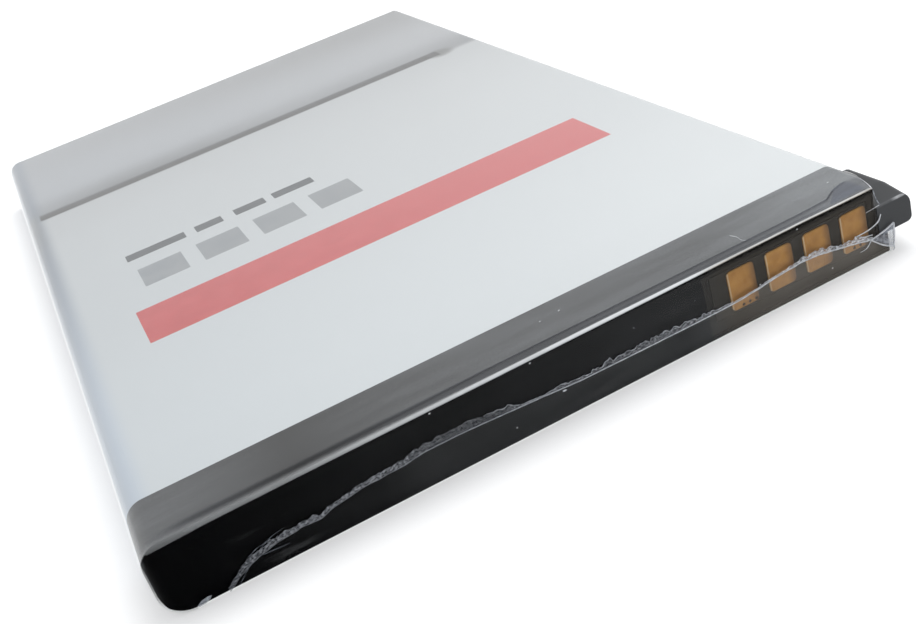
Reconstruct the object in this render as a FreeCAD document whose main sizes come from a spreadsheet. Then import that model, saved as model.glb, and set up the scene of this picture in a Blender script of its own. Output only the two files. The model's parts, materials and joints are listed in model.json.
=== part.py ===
import FreeCAD, Part
import math
import os
import re

import Sketcher
from FreeCAD import Vector

# A flat removable battery pack of a mobile phone, in a shrunk clear sleeve.
# Row frame: +X along the contact end, +Y from the contact end to the tail, +Z up.
# The origin is the middle of the underside. Lengths are in millimetres.
# Inside the script, depths along the pack are counted from the contact face.

SIZES = [
    # the wrapped pack and its skins
    ("pack_width", 52.8),
    ("pack_length", 91.6),
    ("pack_thick", 5.08),
    ("upper_left_round", 1.4),
    ("upper_right_round", 0.75),
    ("lower_left_round", 1.8),
    ("lower_right_round", 0.4),
    ("least_round", 0.05),
    ("label_film", 0.1),
    ("sleeve_gap", 0.03),
    ("sleeve_film", 0.07),
    ("sleeve_round", 0.2),
    ("tear_gap", 0.06),
    ("fit_gap", 0.05),
    ("cut_spare", 1.0),
    # moulded cap over the contact end
    ("cap_depth", 5.44),
    ("cap_tongue", 1.0),
    ("cap_wall", 0.5),
    ("cap_face_wall", 0.8),
    ("cap_edge_round", 0.2),
    ("cap_corner", 0.8),
    ("key_width", 1.15),
    ("key_depth", 3.6),
    ("key_web", 0.25),
    ("lug_drop", 1.34),
    ("lug_height", 2.19),
    ("lug_reach", 1.71),
    ("lug_proud", 0.1),
    ("lug_ramp", 2.0),
    ("lug_rise", 0.4),
    ("lug_round", 0.85),
    ("lug_under_round", 0.45),
    ("lug_front_round", 0.15),
    ("recess_sink", 0.15),
    ("recess_rim", 0.32),
    ("recess_lead", 0.62),
    ("peg_radius", 0.5),
    ("peg_gap", 0.9),
    ("catch_length", 2.0),
    ("catch_height", 0.3),
    ("catch_depth", 0.4),
    ("catch_count", 4),
    # contact pads on their carrier block
    ("contact_count", 4),
    ("contact_pitch", 3.0),
    ("contact_width", 2.1),
    ("contact_height", 2.9),
    ("contact_inset", 2.95),
    ("contact_rise", 2.8),
    ("contact_thick", 0.1),
    ("contact_round", 0.3),
    ("contact_bevel", 0.04),
    ("via_radius", 0.12),
    ("via_pitch", 0.5),
    ("via_inset", 0.24),
    ("via_rise", 0.2),
    ("block_lead", 1.25),
    ("block_trail", 0.1),
    ("block_height", 3.2),
    # protection board and what is soldered to it
    ("board_thick", 0.6),
    ("switch_length", 4.6),
    ("switch_height", 2.6),
    ("switch_thick", 0.9),
    ("switch_gap", 0.4),
    ("guard_length", 2.9),
    ("guard_height", 1.5),
    ("guard_thick", 0.8),
    ("guard_gap", 0.5),
    ("lead_width", 0.35),
    ("lead_reach", 0.35),
    ("lead_thick", 0.15),
    ("sensor_length", 1.6),
    ("sensor_height", 0.8),
    ("sensor_thick", 0.6),
    ("sensor_gap", 0.6),
    ("bead_length", 1.0),
    ("bead_height", 0.55),
    ("bead_thick", 0.5),
    ("bead_cap", 0.22),
    ("bead_step", 0.03),
    ("bead_inset", 0.8),
    ("bead_pitch", 1.5),
    ("plate_length", 3.6),
    ("plate_height", 2.2),
    ("plate_thick", 0.3),
    # sealed cell
    ("weld_inset", 0.45),
    ("weld_width", 0.15),
    ("weld_sink", 0.08),
    ("vent_length", 4.4),
    ("vent_height", 1.8),
    ("vent_line", 0.2),
    ("vent_sink", 0.1),
    ("vent_inset", 5.9),
    ("plug_radius", 0.7),
    ("plug_head", 0.25),
    ("plug_sink", 0.4),
    ("plug_bevel", 0.08),
    ("plug_inset", 4.9),
    ("terminal_offset", 5.5),
    ("terminal_length", 5.2),
    ("terminal_height", 1.8),
    ("terminal_thick", 0.35),
    ("terminal_round", 0.45),
    ("rivet_radius", 0.6),
    ("rivet_sink", 0.5),
    ("gasket_lip", 0.6),
    ("gasket_thick", 0.35),
    ("gasket_sink", 0.15),
    ("gasket_round", 0.15),
    # insulation, cut-out and leads in front of the cell
    ("sheet_thick", 0.12),
    ("sheet_margin", 1.6),
    ("sheet_height", 3.0),
    ("cutout_length", 5.0),
    ("cutout_height", 2.6),
    ("cutout_thick", 0.9),
    ("cutout_round", 0.3),
    ("cutout_offset", 3.2),
    ("strip_thick", 0.12),
    ("strip_width", 1.8),
    ("strip_foot", 2.4),
    ("foot_reach", 7.5),
    ("lead_joggle", 0.5),
    # tail of the pack
    ("tape_thick", 0.15),
    ("tape_margin", 1.2),
    ("tail_thick", 0.8),
    ("tail_recess", 0.3),
    ("tail_rim", 1.0),
    # print on the label, let into its face
    ("print_depth", 0.05),
    ("band_front", 25.9),
    ("band_depth", 6.7),
    ("band_left", 5.9),
    ("band_right", 6.1),
    ("rule_front", 65.6),
    ("rule_depth", 1.9),
    ("rule_right", 4.9),
    ("figure_front", 37.0),
    ("figure_depth", 4.4),
    ("figure_left", 7.6),
    ("figure_width", 4.0),
    ("figure_pitch", 5.4),
    ("figure_count", 4),
    ("note_front", 44.1),
    ("note_depth", 1.6),
    ("note_left", 7.2),
    # heat seal and torn tab of the sleeve
    ("seam_proud", 0.16),
    ("seam_width", 0.14),
    ("tab_thick", 0.06),
]

# The heat seal's run over the face: parts of the pack's width from its left side, each with
# its height as a part of the pack's thickness.
SEAM_LINE = [(0.074, 0.06), (0.105, 0.276), (0.17, 0.433), (0.246, 0.492), (0.356, 0.547),
             (0.481, 0.472), (0.566, 0.427), (0.68, 0.433), (0.756, 0.407), (0.85, 0.366),
             (0.877, 0.4), (0.93, 0.325)]

# Corners of the torn tab at the seal's right end, in the same parts, each with its lift.
TORN_TAB = [(0.955, 0.29, 0.0), (0.992, 0.03, 0.05), (0.994, 0.45, 0.35)]

# Short dashes in the place of the small print: start and end, as distances from note_left.
NOTE_DASHES = [(0.0, 5.6), (6.6, 9.2), (10.4, 13.4), (14.2, 18.2)]

doc = FreeCAD.newDocument("PhoneBattery")
sheet = doc.addObject("Spreadsheet::Sheet", "Sizes")
for row, (alias, value) in enumerate(SIZES, start=1):
    sheet.set(f"A{row}", alias)
    sheet.set(f"B{row}", str(value))
    sheet.setAlias(f"B{row}", alias)
doc.recompute()
ALIASES = {alias for alias, value in SIZES}

# Sizes that several pieces share, as formulas of the sheet's cells.
HALF = "pack_width / 2"
CELL_FRONT = "(cap_depth + cap_tongue)"
CELL_REAR = "(pack_length - tail_thick - tape_thick)"
CORE_HALF = "(pack_width / 2 - label_film)"
CORE_TOP = "(pack_thick - label_film)"
SECTION_ROUND = "max(upper_left_round; upper_right_round; lower_left_round; lower_right_round)"
POCKET_ROUND = f"max({SECTION_ROUND} - label_film - cap_wall; least_round)"
POCKET_LEFT = "(-pack_width / 2 + label_film + cap_wall)"
POCKET_RIGHT = "(pack_width / 2 - max(key_width + key_web; label_film + cap_wall))"
POCKET_LOW = "(label_film + cap_wall)"
POCKET_TOP = "(pack_thick - label_film - cap_wall)"
FIRST_PAD = "(pack_width / 2 - contact_inset - (contact_count - 1) * contact_pitch)"
BLOCK_LEFT = f"({FIRST_PAD} - contact_width / 2 - block_lead)"
BLOCK_RIGHT = "(pack_width / 2 - contact_inset + contact_width / 2 + block_trail)"
BOARD_BACK = "(cap_face_wall + board_thick)"
MIDDLE = "(pack_thick / 2)"
LEDGE = "(pack_thick - lug_drop)"
LUG_UNDER = "(pack_thick - lug_drop - lug_height)"
TERMINAL_FRONT = f"({CELL_FRONT} + gasket_sink - gasket_thick - terminal_thick)"
SHEET_FRONT = f"({CELL_FRONT} - sheet_thick)"
CUTOUT_FRONT = f"({CELL_FRONT} - sheet_thick - cutout_thick)"
PLATE_BACK = "(cap_face_wall + board_thick + plate_thick)"
PLUG_PLACE = "(plug_inset - pack_width / 2)"
VENT_PLACE = "(pack_width / 2 - vent_inset)"
TERMINAL_PLACE = "(-terminal_offset)"
CUTOUT_PLACE = "cutout_offset"
PLUS_PLACE = "(-terminal_offset - foot_reach)"
MINUS_PLACE = CUTOUT_PLACE
PEG_PLACES = [f"({plate} - plate_length / 2 - peg_gap - peg_radius)"
              for plate in (PLUS_PLACE, MINUS_PLACE)]
SENSOR_PLACE = f"({PLUS_PLACE} + plate_length / 2 + sensor_gap + sensor_length / 2)"
SWITCH_LEFT = f"({CUTOUT_PLACE} + cutout_length / 2 + strip_thick + switch_gap)"
SWITCH_PLACE = f"({SWITCH_LEFT} + switch_length / 2)"
GUARD_PLACE = f"({SWITCH_LEFT} + switch_length + guard_gap + guard_length / 2)"
CATCH_RUN = f"({POCKET_RIGHT} - {POCKET_LEFT} - 3 * catch_length)"

# A face sketch looks along the pack, a plan sketch looks down on it and a side sketch
# looks across it.
FACE = "XZ_Plane"
PLAN = "XY_Plane"
SIDE = "YZ_Plane"


def size(alias):
    """The value of one cell of the sheet."""
    return float(sheet.get(alias))


def formula(text):
    """A formula over plain size names, as the document's expressions want it."""
    return re.sub(r"[a-z]\w*", lambda found: "Sizes." + found.group()
                  if found.group() in ALIASES else found.group(), text)


def bind(target, path, text):
    target.setExpression(path, formula(text))


def seat(piece, across="0", along="0", up="0"):
    """Put a piece in the row frame, from a place counted in the pack."""
    bind(piece, "Placement.Base.x", across)
    bind(piece, "Placement.Base.y", f"{along} - pack_length / 2")
    bind(piece, "Placement.Base.z", f"{up} + sleeve_gap + sleeve_film")
    return piece


def new_body(name):
    body = doc.addObject("PartDesign::Body", name)
    body.Label = name
    return body


def new_sketch(body, role, name, level):
    """A sketch on an origin plane: at a depth for a face sketch, at a height for a plan and at a
    place across for a side sketch."""
    sketch = body.newObject("Sketcher::SketchObject", name)
    plane = next(item for item in body.Origin.OriginFeatures if item.Role == role)
    sketch.AttachmentSupport = [(plane, "")]
    sketch.MapMode = "FlatFace"
    sign = "-" if role == FACE else ""
    bind(sketch, "AttachmentOffset.Base.z", f"{sign}({level})")
    return sketch


def hold(sketch, geometry, point, across, up):
    """Fix one point of a sketch at two formulas."""
    for kind, text in (("DistanceX", across), ("DistanceY", up)):
        index = sketch.addConstraint(Sketcher.Constraint(kind, -1, 1, geometry, point, 1.0))
        bind(sketch, f"Constraints[{index}]", text)


def add_outline(sketch, corners):
    """A closed outline of straight lines through corners given as pairs of formulas."""
    count = len(corners)
    first = sketch.GeometryCount
    turns = [2 * math.pi * index / count for index in range(count)]
    ring = [Vector(math.cos(turn), math.sin(turn), 0) for turn in turns]
    for index in range(count):
        sketch.addGeometry(Part.LineSegment(ring[index], ring[(index + 1) % count]))
    for index in range(count):
        following = first + (index + 1) % count
        sketch.addConstraint(Sketcher.Constraint("Coincident", first + index, 2, following, 1))
    for index, (across, up) in enumerate(corners):
        hold(sketch, first + index, 1, across, up)


def add_box(sketch, left, low, right, top):
    add_outline(sketch, [(left, low), (right, low), (right, top), (left, top)])


def add_circle(sketch, across, up, radius):
    index = sketch.addGeometry(Part.Circle(Vector(1, 1, 0), Vector(0, 0, 1), 1.0))
    hold(sketch, index, 3, across, up)
    ring = sketch.addConstraint(Sketcher.Constraint("Radius", index, 1.0))
    bind(sketch, f"Constraints[{ring}]", radius)


def grow(body, sketch, name, length):
    """Add material: back from a face sketch, up from a plan sketch, or to the right from a side
    sketch."""
    pad = body.newObject("PartDesign::Pad", name)
    pad.Profile = sketch
    bind(pad, "Length", length)
    pad.Reversed = sketch.AttachmentSupport[0][0].Role == FACE
    doc.recompute()
    return pad


def cut(body, sketch, name, length):
    """Remove material: back from a face sketch, or down from a plan sketch."""
    before = body.Shape.Volume
    pocket = body.newObject("PartDesign::Pocket", name)
    pocket.Profile = sketch
    bind(pocket, "Length", length)
    doc.recompute()
    if not body.Shape.Volume < before:
        raise ValueError(f"{name} of {body.Label} removes nothing")
    return pocket


def soften(body, name, kind, radius, wanted):
    """Fillet or chamfer the edges of the body that the test picks out."""
    edges = [f"Edge{index}" for index, edge in enumerate(body.Shape.Edges, start=1) if wanted(edge)]
    if not edges:
        raise ValueError(f"{name} of {body.Label} finds no edge")
    feature = body.newObject(f"PartDesign::{kind}", name)
    feature.Base = (body.Tip if body.Tip is not feature else feature.BaseFeature, edges)
    bind(feature, "Radius" if kind == "Fillet" else "Size", radius)
    doc.recompute()
    return feature


def runs_along(edge, axis):
    """Whether an edge is a straight line along one axis."""
    if not isinstance(edge.Curve, Part.Line):
        return False
    direction = edge.tangentAt(edge.FirstParameter)
    return abs(abs(getattr(direction, axis)) - 1) < 1e-6


def near(value, target):
    return abs(value - target) < 1e-4


def round_section(body, name, half, low, top, step):
    """Round the four long edges of a block that lies a step outside the pack's own section."""
    def at(across, height):
        return lambda edge: (runs_along(edge, "y") and near(edge.CenterOfMass.z, height)
                             and near(edge.CenterOfMass.x, across))
    for corner, across, height in (("upper_left", -half, top), ("upper_right", half, top),
                                   ("lower_left", -half, low), ("lower_right", half, low)):
        soften(body, f"{name}_{corner}", "Fillet", f"max({corner}_round + {step}; least_round)",
               at(across, height))


def box(name, across, along, up, length, depth, height):
    """A plain block from its lowest corner, its length along X, depth along Y and height up."""
    block = doc.addObject("Part::Box", name)
    block.Label = name
    bind(block, "Length", length)
    bind(block, "Width", depth)
    bind(block, "Height", height)
    return seat(block, across, along, up)


def pillar(name, across, along, up, radius, height):
    """A round bar that stands up from its lower centre."""
    bar = doc.addObject("Part::Cylinder", name)
    bind(bar, "Radius", radius)
    bind(bar, "Height", height)
    return seat(bar, across, along, up)


def less(name, base, tool):
    """One piece with another taken away from it."""
    result = doc.addObject("Part::Cut", name)
    result.Base = base
    result.Tool = tool
    result.Label = name
    doc.recompute()
    if not result.Shape.Volume < base.Shape.Volume:
        raise ValueError(f"{name} has nothing taken away")
    return result


def joined(name, pieces):
    result = doc.addObject("Part::MultiFuse", name)
    result.Shapes = pieces
    result.Label = name
    doc.recompute()
    return result


def make_cell():
    """The sealed aluminium can: rounded section, welded lid, scored vent, plug hole, rivet hole."""
    body = new_body("cell")
    outline = new_sketch(body, FACE, "cell_outline", CELL_FRONT)
    add_box(outline, f"-{CORE_HALF}", "label_film", CORE_HALF, CORE_TOP)
    grow(body, outline, "cell_block", f"{CELL_REAR} - {CELL_FRONT}")
    low, top = size("label_film"), size("pack_thick") - size("label_film")
    half = size("pack_width") / 2 - size("label_film")
    round_section(body, "cell_round", half, low, top, "-label_film")

    weld = new_sketch(body, FACE, "lid_weld", CELL_FRONT)
    for step in ("weld_inset", "(weld_inset + weld_width)"):
        add_box(weld, f"-{CORE_HALF} + {SECTION_ROUND} + {step}", f"label_film + {step}",
                f"{CORE_HALF} - {SECTION_ROUND} - {step}", f"{CORE_TOP} - {step}")
    cut(body, weld, "weld_groove", "weld_sink")

    vent = new_sketch(body, FACE, "vent_score", CELL_FRONT)
    for step in ("0", "vent_line"):
        add_box(vent, f"{VENT_PLACE} - vent_length / 2 + {step}",
                f"{MIDDLE} - vent_height / 2 + {step}", f"{VENT_PLACE} + vent_length / 2 - {step}",
                f"{MIDDLE} + vent_height / 2 - {step}")
    cut(body, vent, "vent_groove", "vent_sink")

    seat_of_gasket = new_sketch(body, FACE, "gasket_seat", CELL_FRONT)
    add_box(seat_of_gasket, f"{TERMINAL_PLACE} - terminal_length / 2 - gasket_lip",
            f"{MIDDLE} - terminal_height / 2 - gasket_lip / 2",
            f"{TERMINAL_PLACE} + terminal_length / 2 + gasket_lip",
            f"{MIDDLE} + terminal_height / 2 + gasket_lip / 2")
    cut(body, seat_of_gasket, "gasket_pocket", "gasket_sink")

    holes = new_sketch(body, FACE, "lid_holes", CELL_FRONT)
    add_circle(holes, PLUG_PLACE, MIDDLE, "plug_radius")
    add_circle(holes, TERMINAL_PLACE, MIDDLE, "rivet_radius")
    cut(body, holes, "lid_bores", "max(plug_sink; gasket_sink + rivet_sink)")
    return seat(body)


def make_fill_plug():
    """The pin that closes the filling hole of the can, with a flat head on the lid."""
    body = new_body("fill_plug")
    shank = new_sketch(body, FACE, "shank", CELL_FRONT)
    add_circle(shank, PLUG_PLACE, MIDDLE, "plug_radius")
    grow(body, shank, "plug_shank", "plug_sink")
    head = new_sketch(body, FACE, "head", f"{CELL_FRONT} - plug_head")
    add_circle(head, PLUG_PLACE, MIDDLE, "plug_radius + plug_head")
    grow(body, head, "plug_top", "plug_head")
    front = size("cap_depth") + size("cap_tongue") - size("plug_head")
    soften(body, "head_bevel", "Chamfer", "plug_bevel", lambda edge: near(edge.BoundBox.YMax, front))
    return seat(body)


def make_gasket():
    """The plastic gasket that keeps the terminal off the lid."""
    body = new_body("terminal_gasket")
    plate = new_sketch(body, FACE, "plate", f"{CELL_FRONT} + gasket_sink - gasket_thick")
    add_box(plate, f"{TERMINAL_PLACE} - terminal_length / 2 - gasket_lip",
            f"{MIDDLE} - terminal_height / 2 - gasket_lip / 2",
            f"{TERMINAL_PLACE} + terminal_length / 2 + gasket_lip",
            f"{MIDDLE} + terminal_height / 2 + gasket_lip / 2")
    add_circle(plate, TERMINAL_PLACE, MIDDLE, "rivet_radius")
    grow(body, plate, "gasket_plate", "gasket_thick")
    middle = -size("terminal_offset")
    reach = size("terminal_length") / 2
    soften(body, "gasket_corners", "Fillet", "gasket_round",
           lambda edge: runs_along(edge, "y") and abs(edge.CenterOfMass.x - middle) > reach)
    return seat(body)


def make_terminal():
    """The riveted terminal: a plate on the gasket and a shank into the lid."""
    body = new_body("cell_terminal")
    plate = new_sketch(body, FACE, "plate", TERMINAL_FRONT)
    add_box(plate, f"{TERMINAL_PLACE} - terminal_length / 2", f"{MIDDLE} - terminal_height / 2",
            f"{TERMINAL_PLACE} + terminal_length / 2", f"{MIDDLE} + terminal_height / 2")
    grow(body, plate, "terminal_plate", "terminal_thick")
    soften(body, "plate_corners", "Fillet", "terminal_round", lambda edge: runs_along(edge, "y"))
    shank = new_sketch(body, FACE, "shank", f"{TERMINAL_FRONT} + terminal_thick")
    add_circle(shank, TERMINAL_PLACE, MIDDLE, "rivet_radius")
    grow(body, shank, "rivet_shank", "gasket_thick + rivet_sink")
    return seat(body)


def make_cap():
    """The moulded cap: rounded shell, tongue under the label, recess and window for the
    contacts, pegs and catches for the board, and the keying lug below a slanted notch."""
    body = new_body("cap_moulding")
    half, top, film = size("pack_width") / 2, size("pack_thick"), size("label_film")

    tongue = new_sketch(body, FACE, "tongue_outline", "cap_face_wall")
    add_box(tongue, f"-{CORE_HALF}", "label_film", CORE_HALF, CORE_TOP)
    grow(body, tongue, "tongue", f"{CELL_FRONT} - cap_face_wall")
    round_section(body, "tongue_round", half - film, film, top - film, "-label_film")

    shell = new_sketch(body, FACE, "shell_outline", "0")
    add_box(shell, f"-{HALF}", "0", HALF, "pack_thick")
    grow(body, shell, "shell", "cap_depth")
    round_section(body, "shell_round", half, 0, top, "0")
    soften(body, "face_edge", "Fillet", "min(cap_edge_round; lower_right_round / 2)",
           lambda edge: near(edge.BoundBox.YMax, 0))

    recess = new_sketch(body, FACE, "recess_outline", "0")
    add_box(recess, f"{BLOCK_LEFT} - recess_lead", "recess_rim",
            f"{HALF} + recess_rim", "pack_thick - recess_rim")
    cut(body, recess, "contact_recess", "recess_sink")
    window = new_sketch(body, FACE, "window_outline", "0")
    add_box(window, f"{BLOCK_LEFT} - fit_gap", "contact_rise - block_height / 2 - fit_gap",
            f"{BLOCK_RIGHT} + fit_gap", "contact_rise + block_height / 2 + fit_gap")
    cut(body, window, "contact_window", "cap_face_wall + fit_gap")

    key = new_sketch(body, PLAN, "key_plan", "pack_thick")
    add_outline(key, key_outline("0"))
    cut(body, key, "key_notch", "lug_drop")
    make_lug(body)
    seat(body)

    cutters = [
        make_board_space(),
        corner_cutter("foot_cutter", 1, "cap_corner", "-cut_spare", f"{LUG_UNDER} + cut_spare"),
        corner_cutter("left_cutter", -1, "cap_corner", "-cut_spare", "pack_thick + 2 * cut_spare"),
    ]
    return less("contact_cap", body, joined("cap_cutters", cutters))


def key_outline(margin):
    """The notch over the lug in plan: its wall slants from the face back to the side."""
    inner = f"({HALF} - key_width - {margin})"
    outer = f"({HALF} + lug_reach + cut_spare)"
    rear = f"(key_depth + {margin})"
    return [(inner, "-cut_spare"), (outer, "-cut_spare"), (outer, rear), (HALF, rear), (inner, "0")]


def make_lug(body):
    """The keying lug on the cap's right side: a bar with a ramp up from its front edge."""
    profile = new_sketch(body, SIDE, "lug_profile", f"{HALF} - key_width")
    add_outline(profile, [("-lug_proud", LUG_UNDER), ("cap_depth", LUG_UNDER),
                          ("cap_depth", f"{LEDGE} + lug_rise"), ("lug_ramp", f"{LEDGE} + lug_rise"),
                          ("-lug_proud", LEDGE)])
    grow(body, profile, "lug", "key_width + lug_reach")
    ledge = size("pack_thick") - size("lug_drop")
    middle = ledge - size("lug_height") / 2
    side = size("pack_width") / 2
    outer = side + size("lug_reach")
    front = -size("lug_proud")

    def along_outer(edge):
        return (near(edge.BoundBox.XMin, outer) and near(edge.BoundBox.XMax, outer)
                and edge.BoundBox.YLength > edge.BoundBox.ZLength)

    soften(body, "lug_upper_round", "Fillet", "min(lug_round; lug_reach; lug_height / 2)",
           lambda edge: along_outer(edge) and edge.CenterOfMass.z > middle)
    soften(body, "lug_lower_round", "Fillet", "lug_under_round",
           lambda edge: along_outer(edge) and edge.CenterOfMass.z < middle)
    soften(body, "lug_front_edge", "Fillet", "lug_front_round",
           lambda edge: near(edge.BoundBox.YMin, front) and near(edge.BoundBox.YMax, front)
           and edge.CenterOfMass.x > side)


def make_board_space():
    """The hollow of the cap, less the pegs and the catches that stand in it."""
    space = new_body("board_space")
    block = new_sketch(space, FACE, "space_outline", "cap_face_wall")
    add_box(block, POCKET_LEFT, POCKET_LOW, POCKET_RIGHT, POCKET_TOP)
    grow(space, block, "space_block", f"{CELL_FRONT} - cap_face_wall")
    soften(space, "space_corners", "Fillet", POCKET_ROUND, lambda edge: runs_along(edge, "y"))
    pegs = new_sketch(space, FACE, "peg_outlines", "cap_face_wall")
    for place in PEG_PLACES:
        add_circle(pegs, place, MIDDLE, "peg_radius")
    cut(space, pegs, "board_pegs", "board_thick + catch_depth")
    row = new_sketch(space, FACE, "catch_outlines", f"{BOARD_BACK} + fit_gap")
    first = f"({POCKET_LEFT} + catch_length)"
    add_box(row, first, f"{POCKET_LOW} - fit_gap", f"{first} + catch_length",
            f"{POCKET_LOW} + catch_height")
    add_box(row, first, f"{POCKET_TOP} - catch_height", f"{first} + catch_length",
            f"{POCKET_TOP} + fit_gap")
    catch = cut(space, row, "board_catch", "catch_depth")
    catches = space.newObject("PartDesign::LinearPattern", "board_catches")
    catches.Originals = [catch]
    catches.Direction = (row, ["H_Axis"])
    bind(catches, "Length", CATCH_RUN)
    bind(catches, "Occurrences", "catch_count")
    space.Tip = catches
    doc.recompute()
    return seat(space)


def corner_cutter(name, side, radius, low, height):
    """What an upright corner of the cap loses when it is rounded."""
    if side > 0:
        left = f"{HALF} - {radius}"
        centre = f"{HALF} - {radius}"
    else:
        left = f"-{HALF} - cut_spare"
        centre = f"-{HALF} + {radius}"
    block = box(name + "_block", left, "-cut_spare", low, f"{radius} + cut_spare",
                f"{radius} + cut_spare", height)
    bar = pillar(name + "_bar", centre, radius, low, radius, height)
    return less(name, block, bar)


def make_contact_block():
    """The carrier that brings the pads forward through the cap's window."""
    return box("contact_block", BLOCK_LEFT, "recess_sink", "contact_rise - block_height / 2",
               f"{BLOCK_RIGHT} - {BLOCK_LEFT}", "cap_face_wall - recess_sink", "block_height")


def make_contact(number):
    """One plated pad; the outer two, which carry the current, have a row of small vias."""
    body = new_body(f"contact_{number}")
    centre = f"({FIRST_PAD} + {number - 1} * contact_pitch)"
    low = "(contact_rise - contact_height / 2)"
    face = new_sketch(body, FACE, "pad_outline", "recess_sink - contact_thick")
    add_box(face, f"{centre} - contact_width / 2", low, f"{centre} + contact_width / 2",
            f"{low} + contact_height")
    grow(body, face, "pad_plate", "contact_thick")
    soften(body, "pad_corners", "Fillet", "contact_round", lambda edge: runs_along(edge, "y"))
    front = size("recess_sink") - size("contact_thick")
    soften(body, "pad_bevel", "Chamfer", "contact_bevel", lambda edge: near(edge.BoundBox.YMax, front))
    if number in (1, int(size("contact_count"))):
        vias = new_sketch(body, FACE, "via_outlines", "recess_sink - contact_thick")
        for step in range(3):
            add_circle(vias, f"{centre} + contact_width / 2 - via_inset - {step} * via_pitch",
                       f"{low} + via_rise", "via_radius")
        cut(body, vias, "vias", "contact_thick + fit_gap")
    return seat(body)


def make_board():
    """The protection board, held on two pegs of the cap."""
    body = new_body("circuit_board")
    face = new_sketch(body, FACE, "board_outline", "cap_face_wall")
    add_box(face, f"{POCKET_LEFT} + 2 * fit_gap", f"{POCKET_LOW} + 2 * fit_gap",
            f"{POCKET_RIGHT} - 2 * fit_gap", f"{POCKET_TOP} - 2 * fit_gap")
    grow(body, face, "board_plate", "board_thick")
    soften(body, "board_corners", "Chamfer", POCKET_ROUND, lambda edge: runs_along(edge, "y"))
    holes = new_sketch(body, FACE, "peg_holes", "cap_face_wall")
    for place in PEG_PLACES:
        add_circle(holes, place, MIDDLE, "peg_radius + fit_gap")
    cut(body, holes, "peg_bores", "board_thick + fit_gap")
    return seat(body)


def make_chip(name, prefix, place, leads):
    """A moulded chip on the back of the board with a row of leads above and below it."""
    body = new_body(name)
    package = new_sketch(body, FACE, "package_outline", BOARD_BACK)
    add_box(package, f"{place} - {prefix}_length / 2", f"{MIDDLE} - {prefix}_height / 2 + lead_reach",
            f"{place} + {prefix}_length / 2", f"{MIDDLE} + {prefix}_height / 2 - lead_reach")
    grow(body, package, "package", f"{prefix}_thick")
    back = size("cap_face_wall") + size("board_thick") + size(f"{prefix}_thick")
    soften(body, "package_bevel", "Chamfer", "lead_thick", lambda edge: near(edge.BoundBox.YMin, back))
    lead = new_sketch(body, FACE, "lead_outline", BOARD_BACK)
    pitch = f"({prefix}_length - 2 * lead_width) / {leads - 1}"
    first = f"{place} - {prefix}_length / 2 + lead_width / 2"
    add_box(lead, first, f"{MIDDLE} - {prefix}_height / 2", f"{first} + lead_width",
            f"{MIDDLE} + {prefix}_height / 2")
    pad = grow(body, lead, "lead", "lead_thick")
    row = body.newObject("PartDesign::LinearPattern", "leads")
    row.Originals = [pad]
    row.Direction = (lead, ["H_Axis"])
    bind(row, "Length", f"{pitch} * {leads - 1}")
    row.Occurrences = leads
    body.Tip = row
    doc.recompute()
    return seat(body)


def make_bead(name, place, length, height, thick):
    """A small chip part on the board: a body between two raised end caps."""
    body = new_body(name)
    ends = new_sketch(body, FACE, "ends", BOARD_BACK)
    for side in ("-1", "1"):
        middle = f"({place} + {side} * ({length} - bead_cap) / 2)"
        add_box(ends, f"{middle} - bead_cap / 2", f"{MIDDLE} - {height} / 2",
                f"{middle} + bead_cap / 2", f"{MIDDLE} + {height} / 2")
    core = new_sketch(body, FACE, "core", BOARD_BACK)
    add_box(core, f"{place} - {length} / 2 + bead_cap / 2", f"{MIDDLE} - {height} / 2 + bead_step",
            f"{place} + {length} / 2 - bead_cap / 2", f"{MIDDLE} + {height} / 2 - bead_step")
    grow(body, core, "bead_core", f"{thick} - bead_step")
    grow(body, ends, "bead_ends", thick)
    return seat(body)


def make_plate(name, place):
    """A nickel plate on the board, to which a lead of the cell is welded."""
    return box(name, f"{place} - plate_length / 2", BOARD_BACK, f"{MIDDLE} - plate_height / 2",
               "plate_length", "plate_thick", "plate_height")


def make_sheet():
    """The insulating sheet on the lid, open round the terminal, the plug and the welded foot."""
    body = new_body("insulator_sheet")
    face = new_sketch(body, FACE, "sheet_outline", SHEET_FRONT)
    add_box(face, f"{POCKET_LEFT} + sheet_margin", f"{MIDDLE} - sheet_height / 2",
            f"{POCKET_RIGHT} - sheet_margin", f"{MIDDLE} + sheet_height / 2")
    grow(body, face, "sheet_plate", "sheet_thick")
    windows = new_sketch(body, FACE, "sheet_windows", SHEET_FRONT)
    add_box(windows, f"{TERMINAL_PLACE} - terminal_length / 2 - gasket_lip - fit_gap",
            f"{MIDDLE} - terminal_height / 2 - gasket_lip / 2 - fit_gap",
            f"{TERMINAL_PLACE} + terminal_length / 2 + gasket_lip + fit_gap",
            f"{MIDDLE} + terminal_height / 2 + gasket_lip / 2 + fit_gap")
    add_box(windows, f"{PLUS_PLACE} - strip_foot / 2 - fit_gap",
            f"{MIDDLE} - strip_width / 2 - fit_gap", f"{PLUS_PLACE} + strip_foot / 2 + fit_gap",
            f"{MIDDLE} + strip_width / 2 + fit_gap")
    add_circle(windows, PLUG_PLACE, MIDDLE, "plug_radius + plug_head + fit_gap")
    cut(body, windows, "sheet_openings", "sheet_thick + fit_gap")
    return seat(body)


def make_cutout():
    """The thermal cut-out: a small moulded block on the insulating sheet."""
    body = new_body("thermal_cutout")
    face = new_sketch(body, FACE, "case_outline", CUTOUT_FRONT)
    add_box(face, f"{CUTOUT_PLACE} - cutout_length / 2", f"{MIDDLE} - cutout_height / 2",
            f"{CUTOUT_PLACE} + cutout_length / 2", f"{MIDDLE} + cutout_height / 2")
    grow(body, face, "case", "cutout_thick")
    soften(body, "case_corners", "Fillet", "cutout_round", lambda edge: runs_along(edge, "y"))
    return seat(body)


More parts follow.
